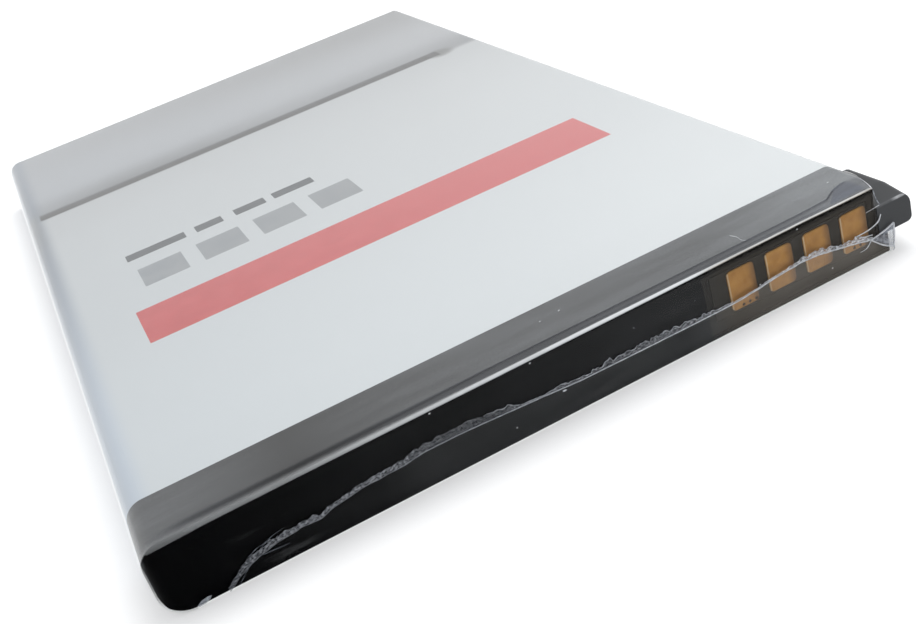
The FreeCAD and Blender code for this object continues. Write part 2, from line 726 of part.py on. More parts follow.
def make_strip(name, spine):
    """A bent nickel strip. Its plan outline goes out along one face and back along the other."""
    body = new_body(name)
    plan = new_sketch(body, PLAN, "strip_plan", f"{MIDDLE} - strip_width / 2")
    add_outline(plan, spine)
    grow(body, plan, "strip", "strip_width")
    return seat(body)


def positive_outline():
    """From a foot welded to the lid, up and forward, to the board's positive plate."""
    foot_left = f"({PLUS_PLACE} - strip_foot / 2)"
    foot_right = f"({PLUS_PLACE} + strip_foot / 2)"
    return [(foot_left, CELL_FRONT), (foot_left, f"{CELL_FRONT} - strip_thick"),
            (f"{foot_right} - strip_thick", f"{CELL_FRONT} - strip_thick"),
            (f"{foot_right} - strip_thick", f"{PLATE_BACK} + strip_thick"),
            (foot_left, f"{PLATE_BACK} + strip_thick"), (foot_left, PLATE_BACK),
            (foot_right, PLATE_BACK), (foot_right, CELL_FRONT)]


def terminal_lead_outline():
    """From the terminal's plate, with a joggle forward, to the front of the cut-out."""
    start = TERMINAL_PLACE
    near_side = f"({CUTOUT_PLACE} - cutout_length / 2 - strip_thick)"
    bend = f"({near_side} - lead_joggle)"
    end = CUTOUT_PLACE
    return [(start, TERMINAL_FRONT), (bend, TERMINAL_FRONT), (near_side, CUTOUT_FRONT),
            (end, CUTOUT_FRONT), (end, f"{CUTOUT_FRONT} - strip_thick"),
            (near_side, f"{CUTOUT_FRONT} - strip_thick"), (bend, f"{TERMINAL_FRONT} - strip_thick"),
            (start, f"{TERMINAL_FRONT} - strip_thick")]


def negative_outline():
    """From the far side of the cut-out, bent forward to the board's negative plate."""
    side = f"({CUTOUT_PLACE} + cutout_length / 2)"
    inner = f"({CUTOUT_PLACE} - strip_foot / 2)"
    rear = f"({CUTOUT_FRONT} + cutout_thick / 2)"
    return [(side, rear), (f"{side} + strip_thick", rear), (f"{side} + strip_thick", PLATE_BACK),
            (inner, PLATE_BACK), (inner, f"{PLATE_BACK} + strip_thick"),
            (side, f"{PLATE_BACK} + strip_thick")]


def make_tail():
    """The tail plate and the tape that holds it to the can."""
    tape = box("tail_tape", f"-{CORE_HALF} + tape_margin", CELL_REAR, "label_film + tape_margin / 2",
               f"2 * {CORE_HALF} - 2 * tape_margin", "tape_thick", f"{CORE_TOP} - label_film - tape_margin")
    body = new_body("tail_cap")
    face = new_sketch(body, FACE, "tail_outline", "pack_length - tail_thick")
    add_box(face, f"-{CORE_HALF}", "label_film", CORE_HALF, CORE_TOP)
    grow(body, face, "tail_plate", "tail_thick")
    film = size("label_film")
    round_section(body, "tail_round", size("pack_width") / 2 - film, film, size("pack_thick") - film,
                  "-label_film")
    hollow = new_sketch(body, FACE, "tail_hollow", "pack_length - tail_recess")
    add_box(hollow, f"-{CORE_HALF} + {SECTION_ROUND} + tail_rim", "label_film + tail_rim",
            f"{CORE_HALF} - {SECTION_ROUND} - tail_rim", f"{CORE_TOP} - tail_rim")
    cut(body, hollow, "tail_groove", "tail_recess + fit_gap")
    return [tape, seat(body)]


def print_windows():
    """Left, front, right and rear of every printed field, by the name of its ink."""
    left = "-pack_width / 2"
    fields = {
        "label_band": [(f"{left} + band_left", "band_front", f"{HALF} - band_right",
                        "band_front + band_depth")],
        "label_rule": [(f"{left} + upper_left_round + label_film", "rule_front", f"{HALF} - rule_right",
                        "rule_front + rule_depth")],
        "label_figures": [],
        "label_notes": [],
    }
    for step in range(int(size("figure_count"))):
        start = f"({left} + figure_left + {step} * figure_pitch)"
        fields["label_figures"].append((start, "figure_front", f"{start} + figure_width",
                                        "figure_front + figure_depth"))
    for start, end in NOTE_DASHES:
        fields["label_notes"].append((f"{left} + note_left + {start}", "note_front",
                                      f"{left} + note_left + {end}", "note_front + note_depth"))
    return fields


def make_label():
    """The printed wrap round the can and the cap's tongue, with beds for the inks."""
    wrap = new_body("wrap_outside")
    outer = new_sketch(wrap, FACE, "wrap_outline", "cap_depth")
    add_box(outer, f"-{HALF}", "0", HALF, "pack_thick")
    grow(wrap, outer, "wrap_block", "pack_length - cap_depth")
    half, top, film = size("pack_width") / 2, size("pack_thick"), size("label_film")
    round_section(wrap, "wrap_round", half, 0, top, "0")
    for name, windows in print_windows().items():
        bed = new_sketch(wrap, PLAN, name + "_bed", "pack_thick")
        for window in windows:
            add_box(bed, *window)
        cut(wrap, bed, name + "_sink", "print_depth")
    seat(wrap)

    core = new_body("wrap_inside")
    inner = new_sketch(core, FACE, "core_outline", "cap_depth")
    add_box(inner, f"-{CORE_HALF}", "label_film", CORE_HALF, CORE_TOP)
    grow(core, inner, "core_block", "pack_length - cap_depth")
    round_section(core, "core_round", half - film, film, top - film, "-label_film")
    seat(core)
    return less("label_wrap", wrap, core)


def make_inks():
    """The printed fields, each a thin layer flush with the label's face."""
    inks = []
    for name, windows in print_windows().items():
        fields = []
        for number, (left, front, right, rear) in enumerate(windows, start=1):
            fields.append(box(f"{name}_{number}", left, front, "pack_thick - print_depth",
                              f"{right} - ({left})", f"{rear} - ({front})", "print_depth"))
        if len(fields) == 1:
            fields[0].Label = name
            inks.append(fields[0])
        else:
            group = doc.addObject("Part::Compound", name)
            group.Links = fields
            group.Label = name
            inks.append(group)
    return inks


def make_sleeve():
    """The clear film shrunk over the whole pack, torn open round the lug."""
    film = new_body("sleeve_outside")
    outer = new_sketch(film, FACE, "sleeve_outline", "-sleeve_gap - sleeve_film")
    skin = "(sleeve_gap + sleeve_film)"
    add_box(outer, f"-{HALF} - {skin}", f"-{skin}", f"{HALF} + {skin}", f"pack_thick + {skin}")
    grow(film, outer, "sleeve_block", f"pack_length + 2 * {skin}")
    thickness = size("sleeve_gap") + size("sleeve_film")
    half, top = size("pack_width") / 2 + thickness, size("pack_thick") + thickness
    round_section(film, "sleeve_edge", half, -thickness, top, skin)
    soften(film, "sleeve_ends", "Fillet", "sleeve_round",
           lambda edge: near(edge.BoundBox.YLength, 0))
    seat(film)

    space = new_body("sleeve_inside")
    inner = new_sketch(space, FACE, "space_outline", "-sleeve_gap")
    add_box(inner, f"-{HALF} - sleeve_gap", "-sleeve_gap", f"{HALF} + sleeve_gap",
            "pack_thick + sleeve_gap")
    grow(space, inner, "space_block", "pack_length + 2 * sleeve_gap")
    gap = size("sleeve_gap")
    round_section(space, "space_edge", size("pack_width") / 2 + gap, -gap, size("pack_thick") + gap,
                  "sleeve_gap")
    seat(space)

    over_key = new_body("key_tear")
    plan = new_sketch(over_key, PLAN, "tear_plan", LEDGE)
    add_outline(plan, key_outline("tear_gap"))
    grow(over_key, plan, "tear_block", "lug_drop + cut_spare")
    tears = [
        seat(over_key),
        box("lug_tear", f"{HALF} - key_width - tear_gap", "-cut_spare", f"{LUG_UNDER} - tear_gap",
            "key_width + tear_gap + lug_reach + cut_spare", "cut_spare + cap_depth + tear_gap",
            "lug_height + lug_rise + 2 * tear_gap"),
    ]
    hollow = less("sleeve_shell", film, space)
    return less("clear_sleeve", hollow, joined("sleeve_tears", tears))


def face_point(across, up, lift, rise=0):
    """A point in front of the film's face: parts of the pack's width and thickness, the lift off
    the film, and a last step up."""
    skin = size("sleeve_gap") + size("sleeve_film")
    return Vector((across - 0.5) * size("pack_width"), -size("pack_length") / 2 - skin - lift,
                  up * size("pack_thick") + skin + rise)


def make_seam():
    """The heat seal across the face: a low fin that follows the line where the film was joined."""
    half = size("seam_width") / 2
    upper = Part.BSplineCurve()
    upper.interpolate([face_point(across, up, 0, half) for across, up in SEAM_LINE])
    lower = Part.BSplineCurve()
    lower.interpolate([face_point(across, up, 0, -half) for across, up in SEAM_LINE])
    ends = [
        Part.makeLine(upper.StartPoint, lower.StartPoint),
        Part.makeLine(upper.EndPoint, lower.EndPoint),
    ]
    outline = Part.Wire(Part.__sortEdges__([upper.toShape(), lower.toShape()] + ends))
    piece = doc.addObject("Part::Feature", "sleeve_seam")
    piece.Shape = Part.Face(outline).extrude(Vector(0, -size("seam_proud"), 0))
    piece.Label = "sleeve_seam"
    return piece


def make_torn_tab():
    """The small triangle of film that stands off the face at the seal's right end."""
    corners = [face_point(across, up, lift) for across, up, lift in TORN_TAB]
    face = Part.Face(Part.makePolygon(corners + corners[:1]))
    piece = doc.addObject("Part::Feature", "sleeve_tab")
    piece.Shape = face.extrude(Vector(0, -size("tab_thick"), 0))
    piece.Label = "sleeve_tab"
    return piece


pieces = [
    make_cell(),
    make_fill_plug(),
    make_gasket(),
    make_terminal(),
    make_cap(),
    make_contact_block(),
    make_board(),
    make_chip("switch_chip", "switch", SWITCH_PLACE, 4),
    make_chip("guard_chip", "guard", GUARD_PLACE, 3),
    make_bead("thermistor", SENSOR_PLACE, "sensor_length", "sensor_height", "sensor_thick"),
    make_plate("positive_plate", PLUS_PLACE),
    make_plate("negative_plate", MINUS_PLACE),
    make_sheet(),
    make_cutout(),
    make_strip("positive_strip", positive_outline()),
    make_strip("terminal_lead", terminal_lead_outline()),
    make_strip("negative_strip", negative_outline()),
    make_label(),
    make_sleeve(),
    make_seam(),
    make_torn_tab(),
]
pieces += [make_contact(number) for number in range(1, int(size("contact_count")) + 1)]
for number, name in enumerate(("resistor_2", "resistor_1", "capacitor_2", "capacitor_1")):
    pieces.append(make_bead(name, f"({POCKET_RIGHT} - bead_inset - {number} * bead_pitch)",
                            "bead_length", "bead_height", "bead_thick"))
pieces += make_tail()
pieces += make_inks()
doc.recompute()

for item in doc.Objects:
    if "Invalid" in item.State or "Error" in item.State:
        raise ValueError(f"{item.Label} could not be built: {item.State}")
for piece in pieces:
    if piece.Shape.isNull() or not piece.Shape.isValid():
        raise ValueError(f"{piece.Label} has no sound shape")

os.makedirs("parts", exist_ok=True)
for piece in pieces:
    piece.Shape.exportStep(f"parts/{piece.Label}.step")
    print(f"{piece.Label:18s} {len(piece.Shape.Solids)} solid {piece.Shape.Volume:10.3f} mm3")
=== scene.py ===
import json
import math

import bpy
from mathutils import Euler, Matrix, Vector, noise

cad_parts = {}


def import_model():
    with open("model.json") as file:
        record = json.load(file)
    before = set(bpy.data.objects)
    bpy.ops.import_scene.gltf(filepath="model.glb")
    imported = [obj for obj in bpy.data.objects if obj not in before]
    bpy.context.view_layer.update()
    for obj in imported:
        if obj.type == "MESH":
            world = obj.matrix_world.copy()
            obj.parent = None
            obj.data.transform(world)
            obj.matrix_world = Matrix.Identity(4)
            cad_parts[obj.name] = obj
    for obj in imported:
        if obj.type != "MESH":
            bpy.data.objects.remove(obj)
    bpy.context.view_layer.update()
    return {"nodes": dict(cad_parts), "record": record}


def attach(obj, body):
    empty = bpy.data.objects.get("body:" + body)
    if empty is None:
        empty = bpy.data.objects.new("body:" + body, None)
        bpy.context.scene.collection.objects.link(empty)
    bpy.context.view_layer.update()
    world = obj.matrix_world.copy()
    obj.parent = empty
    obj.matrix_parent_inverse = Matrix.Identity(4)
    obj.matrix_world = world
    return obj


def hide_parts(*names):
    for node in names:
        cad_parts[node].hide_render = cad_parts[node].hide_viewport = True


# The looks of a flat phone battery in a shrunk clear sleeve.
# Lengths in the tables are millimetres of the row frame: +X towards the keying lug,
# +Y from the contact face to the tail, +Z up.

MM = 0.001
FACE_Y = -45.9          # outer face of the film over the contacts
FILM_TOP = 5.28         # upper face of the film
PANEL_LEFT = 11.55      # left side of the recess round the pads
PANEL_RIGHT = 25.2      # its right side
LUG_LEFT = 25.22        # left side of the keying lug
LUG_TOP = 4.4
WRAP_LEFT = -25.7       # where the wrap has turned down at its left side
RULE_FRONT = 20.9       # where the dark front edge of the grey rule ends
FIRST_PAD_LEFT = 13.4
PAD_PITCH = 3.0
PADS = 4

SOFT_NOISE = (0.3, 0.7)     # soft noise mostly lies between these
CLOUDS = (0.35, 0.65)       # the same for the clouds of sealed film, which have harder edges
SATIN = (0.38, 0.46)        # roughness of the printed wrap, from smooth to rough
FILM_ROUGHNESS = 0.13
FILM_INDEX = 1.45           # refractive index of the clear film

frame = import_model()
nodes = frame["nodes"]
scene = bpy.context.scene
scene.view_settings.view_transform = "Standard"

# The heat seal: its lower edge across the contact face, left to right, as (across, up).
SEAM = [(-22.6, 0.15), (-21.8, 0.73), (-20.9, 1.2), (-20.1, 1.52), (-19.2, 1.72), (-17.4, 1.93),
        (-16.2, 1.85), (-15.3, 2.14), (-13.2, 2.47), (-10.4, 2.56), (-8.9, 2.76), (-6.4, 2.74),
        (-3.8, 2.6), (-1.0, 2.45), (1.8, 2.25), (4.7, 2.21), (9.3, 2.17), (12.1, 2.17), (14.0, 2.2),
        (15.5, 2.38), (17.2, 2.57), (18.8, 2.67), (20.2, 2.6), (21.4, 2.37), (22.8, 2.12),
        (24.0, 1.88), (24.6, 1.72)]


class Shader:
    """A material built node by node."""

    def __init__(self, name):
        self.mat = bpy.data.materials.new(name)
        self.mat.use_nodes = True
        self.tree = self.mat.node_tree
        self.tree.nodes.clear()
        self.out = self.add("ShaderNodeOutputMaterial")
        self.place = None
        self.split = None

    def add(self, kind, inputs=None, **settings):
        node = self.tree.nodes.new(kind)
        for key, value in settings.items():
            setattr(node, key, value)
        for key, value in (inputs or {}).items():
            self.feed(node.inputs[key], value)
        return node

    def feed(self, socket, value):
        if isinstance(value, bpy.types.NodeSocket):
            self.tree.links.new(value, socket)
        elif isinstance(value, bpy.types.Node):
            self.tree.links.new(value.outputs[0], socket)
        elif isinstance(value, (tuple, list)) and socket.type == "RGBA":
            socket.default_value = (*value[:3], 1.0)
        else:
            socket.default_value = value

    def point(self):
        """The place on the part, in millimetres of the row frame."""
        if self.place is None:
            seen = self.add("ShaderNodeTexCoord").outputs["Object"]
            self.place = self.add("ShaderNodeVectorMath", {0: seen, 1: (1 / MM, 1 / MM, 1 / MM)},
                                  operation="MULTIPLY").outputs["Vector"]
        return self.place

    def axis(self, name):
        if self.split is None:
            self.split = self.add("ShaderNodeSeparateXYZ", {"Vector": self.point()})
        return self.split.outputs[name]

    def noise(self, scale, detail=3.0, stretch=(1, 1, 1)):
        """Soft noise; scale is in features per millimetre."""
        place = self.add("ShaderNodeVectorMath", {0: self.point(), 1: stretch}, operation="MULTIPLY")
        made = self.add("ShaderNodeTexNoise", {"Vector": place, "Scale": scale, "Detail": detail})
        return made.outputs["Fac"]

    def ramp(self, value, low, high, start=0.0, end=1.0, kind="LINEAR"):
        made = self.add("ShaderNodeMapRange", {"Value": value, "From Min": low, "From Max": high,
                                               "To Min": start, "To Max": end},
                        interpolation_type=kind)
        return made.outputs["Result"]

    def soft(self, value, low, high, start=0.0, end=1.0):
        return self.ramp(value, low, high, start, end, "SMOOTHSTEP")

    def spread(self, noise, start=0.0, end=1.0):
        """Soft noise made to run from start to end."""
        return self.ramp(noise, *SOFT_NOISE, start, end)

    def line(self, value, points):
        """A value that follows a line of (place, value) pairs."""
        total = points[0][1]
        for (start, first), (end, last) in zip(points, points[1:]):
            total = self.maths("ADD", total, self.ramp(value, start, end, 0.0, last - first))
        return total

    def blend(self, share, first, second):
        made = self.add("ShaderNodeMix", data_type="RGBA")
        self.feed(made.inputs[0], share)
        self.feed(made.inputs[6], first)
        self.feed(made.inputs[7], second)
        return made.outputs[2]

    def maths(self, operation, first, second=0.0):
        made = self.add("ShaderNodeMath", operation=operation)
        self.feed(made.inputs[0], first)
        self.feed(made.inputs[1], second)
        return made.outputs[0]

    def chain(self, operation, values):
        total = values[0]
        for value in values[1:]:
            total = self.maths(operation, total, value)
        return total

    def times(self, *values):
        return self.chain("MULTIPLY", values)

    def plus(self, *values):
        return self.chain("ADD", values)

    def most(self, *values):
        return self.chain("MAXIMUM", values)

    def less(self, first, second):
        return self.maths("SUBTRACT", first, second)

    def spot(self, across, along, inner, outer):
        """1 inside a round spot of the upper face, fading to 0 at its outer radius."""
        first = self.maths("POWER", self.less(self.axis("X"), across), 2.0)
        second = self.maths("POWER", self.less(self.axis("Y"), along), 2.0)
        away = self.maths("SQRT", self.plus(first, second))
        return self.soft(away, inner, outer, 1.0, 0.0)

    def band(self, value, middle, half, edge):
        """1 within half of the middle, fading to 0 over the edge."""
        away = self.maths("ABSOLUTE", self.less(value, middle))
        return self.soft(away, half, self.plus(edge, half), 1.0, 0.0)

    def bump(self, height, strength, distance, normal=None):
        inputs = {"Height": height, "Strength": strength, "Distance": distance * MM}
        if normal is not None:
            inputs["Normal"] = normal
        return self.add("ShaderNodeBump", inputs).outputs["Normal"]

    def principled(self, **inputs):
        node = self.add("ShaderNodeBsdfPrincipled")
        for key, value in inputs.items():
            self.feed(node.inputs[key.replace("_", " ")], value)
        return node

    def mix(self, share, first, second):
        return self.add("ShaderNodeMixShader", {0: share, 1: first.outputs[0], 2: second.outputs[0]})

    def finish(self, surface):
        self.feed(self.out.inputs["Surface"], surface)
        return self.mat

    def coat(self, base, fine, rough, strength, depth, metallic=0.0, shine=0.5):
        """A solid surface. Its roughness runs between two values and its grain stands up to depth
        millimetres, both led by a fine noise."""
        node = self.principled(Base_Color=base, Metallic=metallic, Roughness=self.spread(fine, *rough),
                               Normal=self.bump(fine, strength, depth))
        node.inputs["Specular IOR Level"].default_value = shine
        return self.finish(node)


def plain(name, colour, other, roughness, metallic=0.0, grain=0.02, stretch=(1, 1, 1), shine=0.5):
    """A surface whose colour drifts between two shades, with a fine grain."""
    m = Shader(name)
    scale = 0.6
    drift = m.noise(scale, 4.0, stretch)
    fine = m.noise(scale * 8, 2.0, stretch)
    rough = (roughness - 0.05, roughness + 0.05)
    return m.coat(m.blend(drift, colour, other), fine, rough, 0.3, grain, metallic, shine)


def edge_shade(m, base):
    """Painted shade on the wrap where it turns down at its left side: blue-grey, darker towards the
    tail, and darker still over a stretch towards the rear.
    """
    across, along = m.axis("X"), m.axis("Y")
    turn = m.soft(across, -24.0, WRAP_LEFT)
    shade = m.blend(m.soft(along, -35.0, 15.0), (0.52, 0.58, 0.66), (0.13, 0.17, 0.23))
    base = m.blend(m.times(turn, 0.9), base, shade)
    fade = m.times(m.soft(across, -24.6, -25.5), m.soft(along, 6.0, 19.0), m.soft(along, 24.0, 21.0))
    return m.blend(m.times(fade, 0.8), base, (0.16, 0.18, 0.20))


def label_white():
    """White printed wrap: grey behind the rule, with painted light making it brighter to the right,
    painted shade darkening it towards the tail and at its far end, and painted shade at its left turn.
    """
    m = Shader("label_white")
    across, along = m.axis("X"), m.axis("Y")
    drift = m.noise(0.05, 3.0)
    fine = m.noise(3.0, 2.0)
    # painted light and shade: the wrap is painted brighter to the right and, below, darker towards the
    # tail
    rightward = m.ramp(across, -25.0, 25.0)
    base = m.blend(rightward, (0.635, 0.665, 0.685), (0.81, 0.825, 0.83))
    painted_shade_to_tail = m.line(along, [(-35.0, 0.0), (-25.0, 0.10), (-15.0, 0.25), (0.0, 0.40), (10.0, 0.54),
                          (18.0, 0.73)])
    base = m.blend(painted_shade_to_tail, base, (0.36, 0.37, 0.38))
    base = m.blend(m.spread(drift, 0.0, 0.10), base, (0.62, 0.65, 0.68))

    # the grey field from the rule to the tail, darkest just behind the rule; at its far end, more so to
    # the right, it is darkened by painted shade
    grey = m.blend(rightward, (0.32, 0.34, 0.37), (0.34, 0.35, 0.37))
    behind = m.line(across, [(-24.0, 0.65), (-16.0, 1.0), (-7.0, 0.9), (2.0, 0.6)])
    behind = m.times(m.soft(along, 28.0, 21.0), behind)
    grey = m.blend(behind, grey, (0.10, 0.11, 0.125))
    last = m.times(m.soft(along, 30.0, 44.0), m.ramp(across, -25.0, 18.0, 0.25, 0.80))
    grey = m.blend(last, grey, (0.14, 0.145, 0.155))
    base = m.blend(m.soft(along, 19.0, 20.6), base, grey)

    dark_spot = m.spot(21.6, 20.3, 0.7, 2.0)
    base = m.blend(m.times(dark_spot, 0.75), base, (0.01, 0.012, 0.014))
    return m.coat(edge_shade(m, base), fine, SATIN, 0.12, 0.01)


def ink(name, colour, other, right):
    """A printed field whose shade drifts at random; painted light takes it from its own tint at the
    left to a lighter one at the right, as on the white wrap.
    """
    m = Shader(name)
    drift = m.noise(0.5, 4.0)
    fine = m.noise(3.0, 2.0)
    base = m.blend(m.spread(drift), colour, other)
    # painted light: lighter towards the right
    base = m.blend(m.ramp(m.axis("X"), -20.0, 21.0), base, right)
    return m.coat(base, fine, SATIN, 0.15, 0.01, shine=0.3)


def ink_grey():
    """Grey print: the rule is darkest along its front edge and fades towards the tail."""
    m = Shader("ink_grey")
    across, along = m.axis("X"), m.axis("Y")
    drift = m.noise(0.5, 4.0)
    fine = m.noise(3.0, 2.0)
    mark = m.blend(drift, (0.06, 0.07, 0.08), (0.12, 0.13, 0.14))
    to_tail = m.soft(along, RULE_FRONT, RULE_FRONT + 1.0)
    rule = m.blend(to_tail, (0.008, 0.010, 0.013), (0.13, 0.14, 0.155))
    rule = m.blend(m.times(m.soft(across, 14.0, 21.0), 0.6), rule, (0.02, 0.02, 0.022))
    rule = m.blend(m.spread(drift, 0.0, 0.12), rule, (0.16, 0.17, 0.18))
    base = m.blend(m.soft(along, 10.0, 12.0), mark, rule)
    return m.coat(base, fine, SATIN, 0.15, 0.01, shine=0.04)


def cap_black():
    """Glossy black moulding, a little brown in the recess round the pads, with a painted grey
    reflection on its upper side and a painted highlight along the lug's front upper edge.
    """
    m = Shader("cap_black")
    drift = m.noise(0.15, 4.0)
    fine = m.noise(4.0, 2.0)
    across, along, up = m.axis("X"), m.axis("Y"), m.axis("Z")
    base = m.blend(drift, (0.0008, 0.0008, 0.001), (0.002, 0.002, 0.0025))

    # the upper side is painted with a dull grey reflection, in streaks, brighter to the right
    level = m.line(across, [(-25.0, 0.105), (-16.0, 0.03), (-8.0, 0.08), (2.0, 0.105), (14.0, 0.11),
                            (18.0, 0.14), (22.0, 0.20)])
    streaks = m.noise(0.9, 4.0, (0.18, 1, 1))
    specks = m.noise(7.0, 2.0)
    level = m.times(level, m.spread(streaks, 0.78, 1.22), m.ramp(specks, 0.4, 0.75, 0.93, 1.2))
    top = m.add("ShaderNodeCombineColor", {"Red": m.times(level, 0.96), "Green": level,
                                           "Blue": m.times(level, 1.05)})
    upward = m.times(m.soft(along, FACE_Y + 0.25, FACE_Y + 0.6), m.soft(up, 3.6, 4.6))
    base = m.blend(upward, base, top)

    recess = m.times(m.soft(across, PANEL_LEFT - 0.05, PANEL_LEFT + 0.1),
                     m.soft(across, PANEL_RIGHT, PANEL_RIGHT - 0.2),
                     m.soft(along, -45.78, -45.7), m.soft(along, -45.3, -45.4))
    base = m.blend(recess, base, (0.022, 0.019, 0.016))

    lug = m.times(m.soft(across, LUG_LEFT, LUG_LEFT + 0.08), m.soft(up, LUG_TOP, LUG_TOP - 0.1),
                  m.soft(up, 1.6, 1.7))
    lug_grey = m.blend(m.soft(along, -45.75, -45.4), (0.095, 0.097, 0.10), (0.092, 0.094, 0.096))
    base = m.blend(lug, base, lug_grey)
    # painted highlight along the lug's front upper edge, growing to the right
    rightward = m.line(across, [(25.25, 0.0), (25.35, 0.15), (26.5, 0.15), (27.0, 1.0)])
    painted_lug_highlight = m.times(m.soft(along, -45.72, -45.84), m.soft(up, 3.68, 3.78), rightward)
    base = m.blend(m.times(painted_lug_highlight, m.spread(fine, 0.6, 0.9)), base, (0.60, 0.61, 0.62))
    return m.coat(base, fine, (0.28, 0.36), 0.06, 0.006, shine=0.02)


def contact_gold():
    """Thin gold plate, with painted shade browning each pad towards its right side and a painted
    highlight along its left rim.
    """
    m = Shader("contact_gold")
    drift = m.noise(1.6, 5.0)
    fine = m.noise(6.0, 3.0)
    base = m.blend(m.spread(drift), (0.31, 0.135, 0.022), (0.43, 0.21, 0.042))
    last = FIRST_PAD_LEFT + PAD_PITCH * PADS
    pitches = m.ramp(m.axis("X"), FIRST_PAD_LEFT, last, 0.0, PADS)
    place = m.maths("FRACT", pitches)
    # painted shade towards each pad's right side
    side = m.soft(place, 0.46, 0.70)
    base = m.blend(m.times(side, 0.85), base, (0.13, 0.06, 0.02))
    # painted highlight along each pad's left rim
    rim = m.times(m.soft(place, 0.0, 0.012), m.soft(place, 0.045, 0.02))
    base = m.blend(m.times(rim, 0.6), base, (0.62, 0.50, 0.34))
    return m.coat(base, fine, (0.4, 0.52), 0.25, 0.012, metallic=0.45)


def film_crease_shade(m, across, from_edge, upper):
    """How dark the painted shade in the film's creases is: one crease behind the front upper edge, a
    thinner one at the right, and the painted shade between the first and the edge."""
    behind = m.line(across, [(-25.0, 0.95), (-16.0, 0.90), (-9.0, 0.98), (-3.0, 1.15), (10.0, 1.16),
                             (20.0, 1.20), (22.5, 1.33), (23.6, 2.05), (24.5, 2.35)])
    wide = m.line(across, [(-25.0, 0.10), (-9.0, 0.08), (-3.0, 0.04), (22.0, 0.03)])
    edge = m.ramp(across, -12.0, -2.0, 0.36, 0.10)
    depth = m.line(across, [(-25.0, 0.28), (-16.0, 0.62), (-8.0, 0.50), (0.0, 0.70), (22.0, 0.60)])
    crease_line_shade = m.times(m.band(from_edge, behind, wide, edge), upper, m.soft(across, -25.8, -22.5),
                     m.soft(across, 25.2, 24.6), depth)
    second = m.times(m.band(from_edge, 0.60, 0.02, 0.07), upper, m.soft(across, 0.0, 4.0, 0.0, 0.45),
                     m.soft(across, 23.0, 21.0))
    shade = m.line(across, [(-25.0, 0.1), (-8.0, 0.24), (5.0, 0.24), (16.0, 0.18), (22.0, 0.12)])
    inside = m.times(m.soft(m.less(behind, from_edge), 0.0, 0.1), upper, shade)
    return m.most(crease_line_shade, inside, second)


def film_reflection_patch(m, across, from_edge, upper):
    """The painted bluish reflection in the patch that the crease turns round, at the right end."""
    slant = m.less(across, from_edge)
    return m.times(m.soft(slant, 21.5, 21.7), m.soft(from_edge, 2.5, 2.1), upper,
                   m.soft(from_edge, 0.5, 0.8), m.soft(across, 25.3, 24.8))


def film_haze_and_reflection(m, across, up, on_face):
    """A slight haze on the contact face, partly the film's own and partly painted reflection, that
    grows to the right and below the seal.
    """
    streaks = m.noise(0.8, 4.0, (0.22, 1, 1.6))
    below = m.soft(m.less(up, m.line(across, SEAM)), 0.06, -0.06)
    # its growth towards the right is painted reflection
    haze_over = m.line(across, [(-24.0, 0.0), (-17.0, 0.004), (-12.0, 0.012), (-3.8, 0.015),
                                (3.3, 0.027), (9.3, 0.038), (13.0, 0.041), (25.0, 0.045)])
    haze_under = m.line(across, [(-24.0, 0.0), (-17.0, 0.010), (-12.0, 0.018), (-9.0, 0.042),
                                 (-3.8, 0.045), (3.3, 0.059), (9.7, 0.062), (13.0, 0.12),
                                 (18.0, 0.15), (25.0, 0.19)])
    haze = m.plus(haze_over, m.times(m.less(haze_under, haze_over), below))
    haze = m.times(haze, m.spread(streaks, 0.8, 1.2))
    crumple = m.times(m.soft(across, -13.0, -18.0), m.soft(across, -22.8, -20.0),
                      m.band(up, 1.9, 0.9, 1.1), m.soft(streaks, 0.50, 0.70))
    haze = m.plus(haze, m.times(crumple, 0.05))
    below_top = m.soft(up, FILM_TOP - 0.08, FILM_TOP - 0.24)
    return m.times(haze, on_face, below_top, m.soft(up, 0.03, 0.35))


def film_edge_highlight(m, across, up, from_edge, on_face):
    """The painted highlight along the film's front upper edge, wide and soft at the left, thin at the
    right.
    """
    rear = m.line(across, [(-25.0, 0.41), (-16.0, 0.40), (-9.6, 0.31), (-3.0, 0.30), (4.2, 0.35),
                           (10.2, 0.33), (15.0, 0.31), (19.5, 0.33), (23.5, 0.28)])
    blur = m.line(across, [(-25.0, 0.24), (-16.0, 0.30), (-9.6, 0.22), (-3.0, 0.10), (4.2, 0.08),
                           (15.0, 0.08), (25.0, 0.09)])
    front = m.line(across, [(-4.0, -0.30), (4.2, -0.06), (10.2, 0.01), (14.8, 0.10), (19.5, 0.13),
                            (23.5, 0.08), (25.0, 0.0)])
    lip = m.line(across, [(-25.5, 0.32), (-22.0, 0.19), (-16.0, 0.15), (-9.6, 0.12), (-3.0, 0.10),
                          (4.2, 0.07), (10.2, 0.045), (15.0, 0.03)])
    bright = m.line(across, [(-26.0, 0.10), (-22.0, 0.15), (-15.8, 0.22), (-12.6, 0.36), (-9.3, 0.50),
                             (-2.3, 0.70), (4.8, 0.88), (10.7, 0.95), (14.0, 0.66), (20.0, 0.75),
                             (24.0, 0.92), (25.3, 0.5)])
    on_top = m.soft(m.maths("DIVIDE", m.less(rear, from_edge), blur), -1.0, 1.0)
    past_front = m.soft(m.less(from_edge, front), -0.06, 0.06)
    to_lip = m.soft(m.plus(m.less(up, FILM_TOP), lip), -0.05, 0.03)
    gain = m.line(across, [(-22.0, 0.9), (-9.0, 0.4), (-2.0, 0.2), (5.0, 0.0)])
    lift = m.plus(1.0, m.times(on_face, gain))
    edge_highlight = m.times(on_top, past_front, to_lip, bright, lift)
    uneven = m.noise(2.5, 3.0, (0.3, 1, 1))
    return m.times(edge_highlight, m.spread(uneven, 0.9, 1.08))


